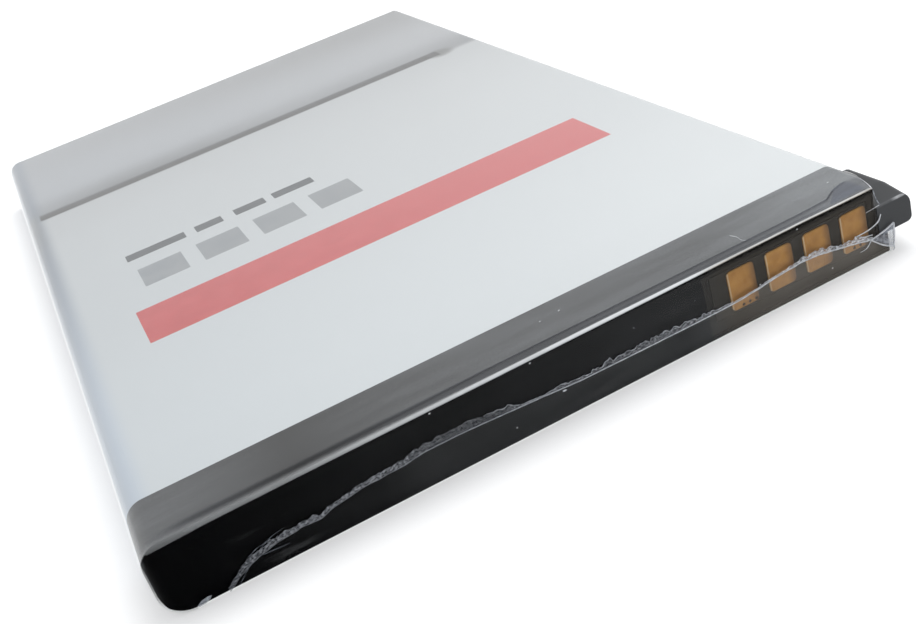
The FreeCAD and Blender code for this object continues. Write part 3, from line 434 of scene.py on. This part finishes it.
def clear_film():
    """Clear shrunk film: a gloss over the top, tight and dull on the contact face, with a painted
    highlight along the front upper edge, painted shade in its creases, a painted bluish reflection at
    the right end, and a slight haze that is partly painted reflection."""
    m = Shader("clear_film")
    across, along, up = m.axis("X"), m.axis("Y"), m.axis("Z")
    on_face = m.soft(along, FACE_Y + 0.30, FACE_Y + 0.05)
    from_edge = m.less(along, FACE_Y)
    upper = m.soft(up, FILM_TOP - 0.15, FILM_TOP - 0.03)

    waves = m.noise(0.10, 3.0, (1, 0.5, 1))
    fine = m.noise(0.9, 4.0, (0.35, 1, 1))
    normal = m.bump(waves, 0.3, 0.10)
    creased = m.times(on_face, m.soft(across, -9.0, -20.0, 0.12, 1.0))
    normal = m.bump(m.times(fine, creased), 0.5, 0.10, normal)

    # painted shade in the film's creases, laid on the colour seen through the film
    crease_shade = film_crease_shade(m, across, from_edge, upper)
    reflection_patch = film_reflection_patch(m, across, from_edge, upper)
    tint = m.blend(crease_shade, (0.985, 0.99, 0.99), (0.22, 0.24, 0.32))
    # painted bluish reflection in the patch at the right end
    tint = m.blend(m.times(reflection_patch, 0.5), tint, (0.55, 0.60, 0.72))
    through = m.add("ShaderNodeBsdfTransparent", {"Color": tint})

    # the gloss, full on the top and all but gone on the contact face
    mirror = m.add("ShaderNodeBsdfGlossy", {"Color": (1, 1, 1), "Roughness": FILM_ROUGHNESS,
                                             "Normal": normal})
    fresnel = m.add("ShaderNodeFresnel", {"IOR": FILM_INDEX, "Normal": normal})
    outside = m.less(1.0, m.add("ShaderNodeNewGeometry").outputs["Backfacing"])
    top_gloss = 1.15
    above = m.times(m.less(top_gloss, m.times(on_face, top_gloss)), m.less(1.0, m.times(crease_shade, 0.75)))
    facing = m.times(on_face, m.ramp(across, -22.0, -4.0, 0.0, 0.06), m.soft(up, 0.6, 1.6, 0.35, 1.0))
    glossed = m.mix(m.times(fresnel, outside, m.plus(above, facing)), through, mirror)

    # haze of the film, partly real and partly painted reflection
    haze = film_haze_and_reflection(m, across, up, on_face)
    # painted highlight along the film's front upper edge
    edge_highlight = film_edge_highlight(m, across, up, from_edge, on_face)
    share = m.most(haze, edge_highlight, m.times(reflection_patch, 0.03))
    most_cover = 0.95
    share = m.times(m.maths("MINIMUM", share, most_cover), outside)
    # diffuse share that carries the haze, the painted highlight and the painted reflection
    warm = m.times(m.soft(across, 11.0, 13.5), on_face)
    haze_and_highlight_colour = m.blend(warm, (0.86, 0.88, 0.89), (0.86, 0.79, 0.70))
    haze_and_highlight = m.add("ShaderNodeBsdfDiffuse", {"Color": haze_and_highlight_colour})
    return m.finish(m.mix(share, glossed, haze_and_highlight))


def sealed_film(name="sealed_film", thin=0.25, thick=0.75, pale=(0.9, 0.92, 0.94),
                dull=(0.55, 0.58, 0.66), fade=None, deep=None, size=3.0):
    """Clouded film along the heat seal, clearer in patches; across the face, fade scales how much
    it covers and deep how far its colour goes to a dark blue."""
    m = Shader(name)
    grain = m.noise(size, 4.0, (1.2, 1, 1.6))
    base = m.blend(m.spread(grain), dull, pale)
    if deep:
        base = m.blend(m.line(m.axis("X"), deep), base, (0.04, 0.05, 0.075))
    haze = m.principled(Base_Color=base, Roughness=0.3)
    through = m.add("ShaderNodeBsdfTransparent", {"Color": (1, 1, 1)})
    share = m.ramp(grain, *CLOUDS, thin, thick)
    if fade:
        share = m.times(share, m.line(m.axis("X"), fade))
    return m.finish(m.mix(share, through, haze))


LOOKS = {
    "can_aluminium": plain("can_aluminium", (0.66, 0.67, 0.68), (0.78, 0.79, 0.80), 0.35, 1.0,
                           stretch=(1, 0.1, 1)),
    "gasket_plastic": plain("gasket_plastic", (0.72, 0.69, 0.62), (0.80, 0.77, 0.70), 0.45),
    "nickel": plain("nickel", (0.60, 0.58, 0.54), (0.70, 0.68, 0.64), 0.3, 1.0, stretch=(0.1, 1, 1)),
    "cap_black": cap_black(),
    "board_mask": plain("board_mask", (0.021, 0.018, 0.015), (0.029, 0.025, 0.020), 0.5, grain=0.01,
                        shine=0.1),
    "chip_black": plain("chip_black", (0.02, 0.02, 0.02), (0.035, 0.035, 0.035), 0.5),
    "chip_tan": plain("chip_tan", (0.40, 0.27, 0.15), (0.50, 0.36, 0.22), 0.5),
    "sheet_green": plain("sheet_green", (0.22, 0.30, 0.24), (0.29, 0.37, 0.30), 0.6),
    "label_white": label_white(),
    "ink_red": ink("ink_red", (0.52, 0.03, 0.035), (0.59, 0.055, 0.06), (0.67, 0.125, 0.13)),
    "ink_grey": ink_grey(),
    "ink_dark": ink("ink_dark", (0.24, 0.26, 0.285), (0.31, 0.325, 0.34), (0.30, 0.31, 0.32)),
    "contact_gold": contact_gold(),
    "tape_white": plain("tape_white", (0.72, 0.72, 0.70), (0.80, 0.80, 0.78), 0.6),
    "clear_film": clear_film(),
    "sealed_film": sealed_film(),
}

for part in frame["record"]["subparts"]:
    mesh = nodes[part["node"]].data
    mesh.materials.clear()
    mesh.materials.append(LOOKS[part["material_slot"]])


# Pieces of torn and sealed film on the contact face.

def value_at(points, across):
    """The value at a place across, on a line of (place, value) pairs."""
    for (x0, v0), (x1, v1) in zip(points, points[1:]):
        if across <= x1:
            return v0 + (v1 - v0) * max(0.0, across - x0) / (x1 - x0)
    return points[-1][1]


def jitter(value, seed, scale):
    """Repeatable unevenness between -1 and 1."""
    return noise.noise(Vector((value * scale, seed * 7.3, 0.0)))


def mesh_piece(name, vertices, faces, material):
    """A piece made of vertices in millimetres, fixed to the pack."""
    mesh = bpy.data.meshes.new(name)
    mesh.from_pydata([tuple(value * MM for value in vertex) for vertex in vertices], [], faces)
    mesh.polygons.foreach_set("use_smooth", [True] * len(mesh.polygons))
    mesh.materials.append(material)
    mesh.update()
    made = bpy.data.objects.new(name, mesh)
    scene.collection.objects.link(made)
    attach(made, "root")
    return made


def sheet(rows):
    """Vertices and faces of a grid given row by row."""
    wide = len(rows[0])
    vertices = [vertex for row in rows for vertex in row]
    faces = [(r * wide + c, r * wide + c + 1, (r + 1) * wide + c + 1, (r + 1) * wide + c)
             for r in range(len(rows) - 1) for c in range(wide - 1)]
    return vertices, faces


def cord_rows(path, radius, sides=6):
    """Rings of a thin strand along a path of (x, y, z); the radius may change along it."""
    rows = []
    for index, place in enumerate(path):
        before, after = path[max(0, index - 1)], path[min(len(path) - 1, index + 1)]
        run = (Vector(after) - Vector(before)).normalized()
        first = run.cross(Vector((0, 0, 1)))
        first = first.normalized() if first.length > 1e-4 else Vector((1, 0, 0))
        second = run.cross(first).normalized()
        size = radius[index] if isinstance(radius, list) else radius
        rows.append([tuple(Vector(place) + (first * math.cos(turn) + second * math.sin(turn)) * size)
                     for turn in (2 * math.pi * side / sides for side in range(sides + 1))])
    return rows


# across the face: height of the strip of loose film over the seal's line, how jagged its torn
# edge is, how far the seal's line wanders, and how thick the weld's cord is
STRIP_HEIGHT = [(-22.6, 0.35), (-21.0, 0.42), (-19.4, 0.5), (-17.3, 0.42), (-15.0, 0.36), (-13.0, 0.38),
                (-10.5, 0.42), (-8.5, 0.62), (-6.0, 0.66), (-4.3, 0.52), (-3.2, 0.50), (-2.4, 0.2),
                (-0.8, 0.12), (0.5, 0.30), (2.0, 0.2), (4.0, 0.45), (7.0, 0.45), (9.5, 0.38),
                (11.5, 0.30), (13.5, 0.12), (15.2, 0.14), (17.0, 0.16), (18.5, 0.27), (20.5, 0.32),
                (22.0, 0.25), (23.5, 0.38), (24.6, 0.2)]
STRIP_JAG = [(-22.6, 0.35), (-17.0, 0.45), (-8.0, 0.30), (-3.0, 0.20), (0.0, 0.3), (3.0, 0.55),
             (10.0, 0.55), (13.0, 0.5), (24.6, 0.5)]
SEAM_WANDER = [(-22.6, 0.07), (-11.0, 0.04), (-8.0, 0.012), (13.0, 0.012), (15.5, 0.045), (24.6, 0.05)]
RIDGE_THICK = [(-22.6, 0.01), (-18.0, 0.015), (-9.0, 0.028), (-2.0, 0.036), (12.0, 0.042),
               (15.0, 0.055), (24.6, 0.055)]
COLUMNS = 520           # the strip's grid, along it and up it
LEVELS = 6
LEAST_TALL = 0.05
LEAST_OUT = 0.015       # how near the strip comes to the face
CORD_OUT = 0.045        # how far the weld's cord stands off the face
DULL_END = -4.5         # left of this the torn edge is thin and even


def seam_places():
    """The places across at which the seal is drawn, left to right."""
    left, right = SEAM[0][0], SEAM[-1][0]
    return [left + (right - left) * column / COLUMNS for column in range(COLUMNS + 1)]


def seam_point(across):
    """The height of the seal's line, which wanders a little."""
    return value_at(SEAM, across) + value_at(SEAM_WANDER, across) * jitter(across, 4, 1.6)


def seal_strip():
    """The film that stands over the seal's line, folded up against the face, torn along the top."""
    rows = [[] for level in range(LEVELS)]
    for across in seam_places():
        tall = value_at(STRIP_HEIGHT, across)
        jag = value_at(STRIP_JAG, across)
        tall *= 1 + jag * (0.9 * jitter(across, 1, 2.2) + 0.8 * jitter(across, 2, 6.0)
                           + 0.4 * jitter(across, 3, 15.0))
        low = seam_point(across)
        for level, row in enumerate(rows):
            share = level / (LEVELS - 1)
            lift = 0.03 + 0.08 * math.sin(share * 2.2) + 0.02 * jitter(across + 5 * level, 5, 3.5)
            out = max(LEAST_OUT, lift)
            row.append((across, FACE_Y - out, low + max(LEAST_TALL, tall) * share))
    return rows


def seal_ridge():
    """The bright cord of the weld itself."""
    path, radius = [], []
    for across in seam_places():
        path.append((across, FACE_Y - CORD_OUT, seam_point(across)))
        radius.append(value_at(RIDGE_THICK, across) * (1 + 0.25 * jitter(across, 6, 3.0)))
    return cord_rows(path, radius)


def torn_edge(edge):
    """The thickened, whitened rim of the strip's torn edge, broken into short runs."""
    radius = []
    for across, _, _ in edge:
        least, more = (0.006, 0.006) if across < DULL_END else (0.012, 0.026)
        radius.append(least + more * max(0.0, 0.4 + jitter(across, 8, 3.5)))
    return cord_rows([(x, y - 0.01, z) for x, y, z in edge], radius, sides=5)


bright_film = sealed_film("bright_film", 0.8, 1.0, (0.97, 0.98, 1.0), (0.78, 0.81, 0.86))
dim_film = sealed_film("dim_film", 0.3, 0.8, (0.60, 0.63, 0.68), (0.30, 0.33, 0.38))
faint_film = sealed_film("faint_film", 0.1, 0.4, (0.45, 0.48, 0.54), (0.22, 0.25, 0.31))
strip_rows = seal_strip()
strip = mesh_piece("seal_strip", *sheet(strip_rows),
                   sealed_film("strip_film", 0.15, 0.90, (0.95, 0.97, 1.0), (0.52, 0.55, 0.62),
                               fade=[(-22.6, 0.55), (-17.0, 0.85), (-12.0, 0.75), (-8.0, 0.40),
                                     (-3.5, 0.35), (-2.0, 0.7), (3.0, 0.45), (12.0, 0.55),
                                     (16.0, 1.0), (24.6, 1.0)],
                               deep=[(-22.6, 0.55), (-12.0, 0.42), (-6.0, 0.45), (0.0, 0.40),
                                     (8.0, 0.3), (14.0, 0.0)],
                               size=4.0))
ridge = mesh_piece("seal_ridge", *sheet(seal_ridge()),
                   sealed_film("ridge_film", 0.75, 1.0, (0.95, 0.97, 1.0), (0.70, 0.73, 0.78),
                               fade=[(-22.6, 0.5), (-12.0, 0.6), (-6.0, 0.75), (0.0, 0.9),
                                     (12.0, 1.0)],
                               deep=[(-22.6, 0.5), (-12.0, 0.4), (-6.0, 0.3), (0.0, 0.15),
                                     (8.0, 0.0)]))
rim = mesh_piece("seal_torn_edge", *sheet(torn_edge(strip_rows[-1])),
                 sealed_film("rim_film", 0.35, 0.85, (0.85, 0.87, 0.90), (0.55, 0.58, 0.64),
                             fade=[(-22.6, 0.2), (-8.0, 0.35), (-3.0, 0.6), (2.0, 1.0)]))
for made in (strip, ridge, rim):
    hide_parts("sleeve_seam")


def smooth_path(points, steps=14):
    """A smooth run through a few points."""
    ends = [points[0]] + list(points) + [points[-1]]
    path = []
    for a, b, c, d in zip(ends, ends[1:], ends[2:], ends[3:]):
        for step in range(steps):
            t = step / steps
            path.append(tuple(0.5 * ((2 * q) + (-p + r) * t + (2 * p - 5 * q + 4 * r - s) * t * t
                                     + (-p + 3 * q - 3 * r + s) * t ** 3)
                              for p, q, r, s in zip(a, b, c, d)))
    path.append(tuple(points[-1]))
    return path


def strand(name, points, thick, thin, material=bright_film):
    """An uneven thread of film that runs from thick to thin."""
    path = smooth_path(points)
    last = len(path) - 1
    radius = []
    for index in range(last + 1):
        size = thick + (thin - thick) * index / last
        radius.append(size * (1 + 0.3 * jitter(index * 0.2, len(name), 1.0)))
    return mesh_piece(name, *sheet(cord_rows(path, radius)), material)


# the dog-ear at the seal's right end: a pale rim round a cloudy triangle, and curled strands
EAR_TIP = (24.45, FACE_Y - 0.08, 1.75)
EAR_UPPER = (25.55, FACE_Y - 0.18, 2.02)
EAR_CORNER = (26.25, FACE_Y - 0.30, 2.35)
EAR_RIGHT = (26.22, FACE_Y - 0.26, 1.5)
EAR_FOOT = (26.15, FACE_Y - 0.18, 0.55)
EAR_LOWER = (25.3, FACE_Y - 0.14, 1.02)
EAR_STEPS = 12
EAR_DOWN = 8


def ear_sheet():
    """The rippled triangle between the ear's tip, corner and foot."""
    tip, corner, foot = Vector(EAR_TIP), Vector(EAR_CORNER), Vector(EAR_FOOT)
    rows = []
    for step in range(EAR_STEPS + 1):
        share = step / EAR_STEPS
        top, low = tip.lerp(corner, share), tip.lerp(foot, share)
        row = []
        for down in range(EAR_DOWN + 1):
            ripple = Vector((0, -0.03 * math.sin(share * 9 + down), 0))
            row.append(tuple(top.lerp(low, down / EAR_DOWN) + ripple))
        rows.append(row)
    return rows


ear = mesh_piece("ear_film", *sheet(ear_sheet()),
                 sealed_film("ear_film", 0.25, 0.6, (0.62, 0.66, 0.74), (0.34, 0.37, 0.44)))
strands = [
    strand("ear_rim", [EAR_TIP, EAR_UPPER, EAR_CORNER], 0.05, 0.07),
    strand("ear_side", [EAR_CORNER, EAR_RIGHT, EAR_FOOT], 0.06, 0.06),
    strand("ear_low", [EAR_TIP, EAR_LOWER, EAR_FOOT], 0.05, 0.07),
    strand("ear_fold", [(25.5, FACE_Y - 0.06, 3.25), (25.15, FACE_Y - 0.12, 2.85),
                        (24.4, FACE_Y - 0.12, 2.6), (23.4, FACE_Y - 0.06, 2.5)], 0.045, 0.04),
    strand("ear_tail", [(23.4, FACE_Y - 0.06, 2.5), (23.9, FACE_Y - 0.1, 2.25),
                        (24.6, FACE_Y - 0.1, 2.1)], 0.03, 0.03),
    strand("ear_spur", [(24.5, FACE_Y - 0.06, 1.72), (24.0, FACE_Y - 0.12, 1.35),
                        (23.5, FACE_Y - 0.06, 1.25)], 0.045, 0.015),
    strand("ear_drop", [EAR_FOOT, (26.2, FACE_Y - 0.12, 0.35), (26.1, FACE_Y - 0.03, 0.2)], 0.05, 0.02),
]
for made in [ear] + strands:
    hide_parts("sleeve_tab")

# the whitened edge of the film where it is torn round the notch over the lug
tears = [
    strand("tear_front", [(25.2, FACE_Y + 0.02, 5.12), (25.24, FACE_Y - 0.02, 4.75),
                          (25.36, FACE_Y - 0.03, 4.35), (25.52, FACE_Y - 0.03, 3.95)], 0.035, 0.045,
           dim_film),
    strand("tear_top", [(25.2, FACE_Y + 0.1, 5.22), (25.37, FACE_Y + 0.5, 5.24),
                        (25.62, FACE_Y + 1.25, 5.23), (25.85, FACE_Y + 2.0, 5.18)], 0.035, 0.018),
    strand("lug_crease", [(24.4, FACE_Y - 0.01, 3.83), (24.9, FACE_Y - 0.01, 3.86),
                          (25.5, FACE_Y - 0.02, 3.92)], 0.012, 0.02),
]


def left_crumple():
    """Fine puckers of the film at the seal's left end, each a thin raised thread."""
    runs = [
        [(-22.6, 0.15), (-22.1, 0.7), (-21.5, 1.1)], [(-21.9, 0.35), (-21.2, 1.0), (-20.5, 1.6)],
        [(-21.6, 1.2), (-20.4, 1.75), (-19.3, 2.0)], [(-20.9, 1.75), (-20.2, 2.05), (-19.5, 2.1)],
        [(-20.3, 1.45), (-19.3, 1.40), (-18.4, 1.32)], [(-19.9, 2.0), (-19.1, 2.35), (-18.4, 2.45)],
        [(-18.9, 1.8), (-17.6, 2.0), (-16.4, 2.1)],
    ]
    pieces = []
    for number, run in enumerate(runs, start=1):
        points = [(x, FACE_Y - 0.02 - 0.02 * math.sin(step * 1.5), z)
                  for step, (x, z) in enumerate(run)]
        pieces.append(strand(f"pucker_{number}", points, 0.03, 0.015, faint_film))
    return pieces


FLAKE_SIDES = 7
BRIGHT_FLAKES = (0.05, 0.3)     # narrower and wider crumbs are dim


def flake(name, across, up, wide, tall, turn):
    """A small pale flake on the face: a crumb of film, and at the lower left a painted glint."""
    vertices = [(across, FACE_Y - 0.07, up)]
    for side in range(FLAKE_SIDES):
        angle = 2 * math.pi * side / FLAKE_SIDES
        reach = 1 + 0.35 * jitter(side * 1.7, across, 1.0)
        x, z = wide * reach * math.cos(angle), tall * reach * math.sin(angle)
        vertices.append((across + x * math.cos(turn) - z * math.sin(turn), FACE_Y - 0.015,
                         up + x * math.sin(turn) + z * math.cos(turn)))
    faces = [(0, 1 + side, 1 + (side + 1) % FLAKE_SIDES) for side in range(FLAKE_SIDES)]
    bright = BRIGHT_FLAKES[0] <= wide <= BRIGHT_FLAKES[1]
    return mesh_piece(name, vertices, faces, bright_film if bright else dim_film)


# crumbs of film: across, up, width, height, turn; the second, wide one at the lower left is a painted
# glint
FLAKES = [(0.67, 2.10, 0.16, 0.07, -0.1), (-24.1, 0.40, 0.50, 0.17, 0.3), (19.0, 5.08, 0.05, 0.04, 0.4),
          (18.55, 4.43, 0.04, 0.03, 0.0), (21.2, 1.12, 0.06, 0.04, 0.5), (15.6, 2.54, 0.06, 0.05, 0.2),
          (12.6, 2.8, 0.04, 0.03, 0.1), (10.75, 3.7, 0.045, 0.03, 1.0), (6.2, 3.94, 0.04, 0.03, 0.2),
          (-1.0, 5.02, 0.06, 0.04, 0.5), (-3.0, 1.25, 0.06, 0.03, 0.6), (-7.9, 5.0, 0.08, 0.04, 0.1),
          (13.0, 3.3, 0.035, 0.03, 0.9), (11.9, 4.5, 0.035, 0.03, 0.3)]
extras = left_crumple()
extras += [flake(f"flake_{number}", *values) for number, values in enumerate(FLAKES, start=1)]
extras += [
    strand("hair", [(15.70, -43.20, 5.258), (15.86, -43.75, 5.26), (15.80, -44.30, 5.26),
                    (15.98, -44.70, 5.258)], 0.016, 0.010),
    strand("grain_1", [(24.14, -42.60, 5.245), (24.28, -42.56, 5.245)], 0.030, 0.020),
    strand("grain_2", [(3.10, -42.18, 5.25), (3.24, -42.12, 5.25)], 0.025, 0.015),
    strand("grain_3", [(1.60, -42.34, 5.25), (1.72, -42.36, 5.25)], 0.022, 0.015),
]


SEEN_BY = ("Is Camera Ray", "Is Glossy Ray", "Is Transmission Ray")
FLOOR_SIZE = 4.0
FLOOR_GLOW = 0.42
SOFT_LIGHT = 0.6


def stage():
    """A pale floor, white to the camera, that keeps the part's shadow."""
    bpy.ops.mesh.primitive_plane_add(size=FLOOR_SIZE, location=(0, 0, 0))
    floor = bpy.context.object
    floor.name = "floor"
    m = Shader("floor")
    path = m.add("ShaderNodeLightPath")
    seen = m.most(*(path.outputs[name] for name in SEEN_BY))
    matte = m.add("ShaderNodeBsdfDiffuse", {"Color": (0.8, 0.8, 0.8)})
    glow = m.add("ShaderNodeEmission", {"Color": (1, 1, 1), "Strength": m.times(seen, FLOOR_GLOW)})
    both = m.add("ShaderNodeAddShader", {0: matte.outputs[0], 1: glow.outputs[0]})
    floor.data.materials.append(m.finish(both))


def world():
    """Even pale surroundings: soft light on the part, plain white to the camera."""
    made = bpy.data.worlds.new("surround")
    scene.world = made
    made.use_nodes = True
    tree = made.node_tree
    tree.nodes.clear()
    out = tree.nodes.new("ShaderNodeOutputWorld")
    path = tree.nodes.new("ShaderNodeLightPath")
    mix = tree.nodes.new("ShaderNodeMixShader")
    backs = [((0.95, 0.97, 1.0, 1), SOFT_LIGHT), ((1, 1, 1, 1), 1.0)]
    for place, (colour, strength) in enumerate(backs, start=1):
        back = tree.nodes.new("ShaderNodeBackground")
        back.inputs["Color"].default_value = colour
        back.inputs["Strength"].default_value = strength
        tree.links.new(back.outputs[0], mix.inputs[place])
    seen = path.outputs[SEEN_BY[0]]
    for name in SEEN_BY[1:]:
        either = tree.nodes.new("ShaderNodeMath")
        either.operation = "MAXIMUM"
        tree.links.new(seen, either.inputs[0])
        tree.links.new(path.outputs[name], either.inputs[1])
        seen = either.outputs[0]
    tree.links.new(seen, mix.inputs[0])
    tree.links.new(mix.outputs[0], out.inputs["Surface"])


def lamp(name, place, power, width):
    """A round lamp that looks at the origin."""
    light = bpy.data.lights.new(name, "AREA")
    light.shape = "DISK"
    light.size = width
    light.energy = power
    holder = bpy.data.objects.new(name, light)
    scene.collection.objects.link(holder)
    holder.location = place
    holder.rotation_euler = (-Vector(place)).to_track_quat("-Z", "Y").to_euler()


CAMERA_PLACE = (-0.020995, -0.105895, 0.042756)     # metres
CAMERA_TURN = (61.2591, 16.1072, -24.2774)          # degrees
FOCAL_LENGTH = 47.565
SENSOR_WIDTH = 36.0


def camera():
    """The viewpoint of the photograph."""
    lens = bpy.data.cameras.new("camera")
    lens.sensor_width = SENSOR_WIDTH
    lens.lens = FOCAL_LENGTH
    lens.clip_start = 0.001
    lens.clip_end = 10.0
    holder = bpy.data.objects.new("camera", lens)
    scene.collection.objects.link(holder)
    holder.location = CAMERA_PLACE
    holder.rotation_euler = Euler([math.radians(turn) for turn in CAMERA_TURN], "XYZ")
    scene.camera = holder


stage()
world()
lamp("key", place=(0.2, 0.15, 0.5), power=1.6, width=0.4)
camera()
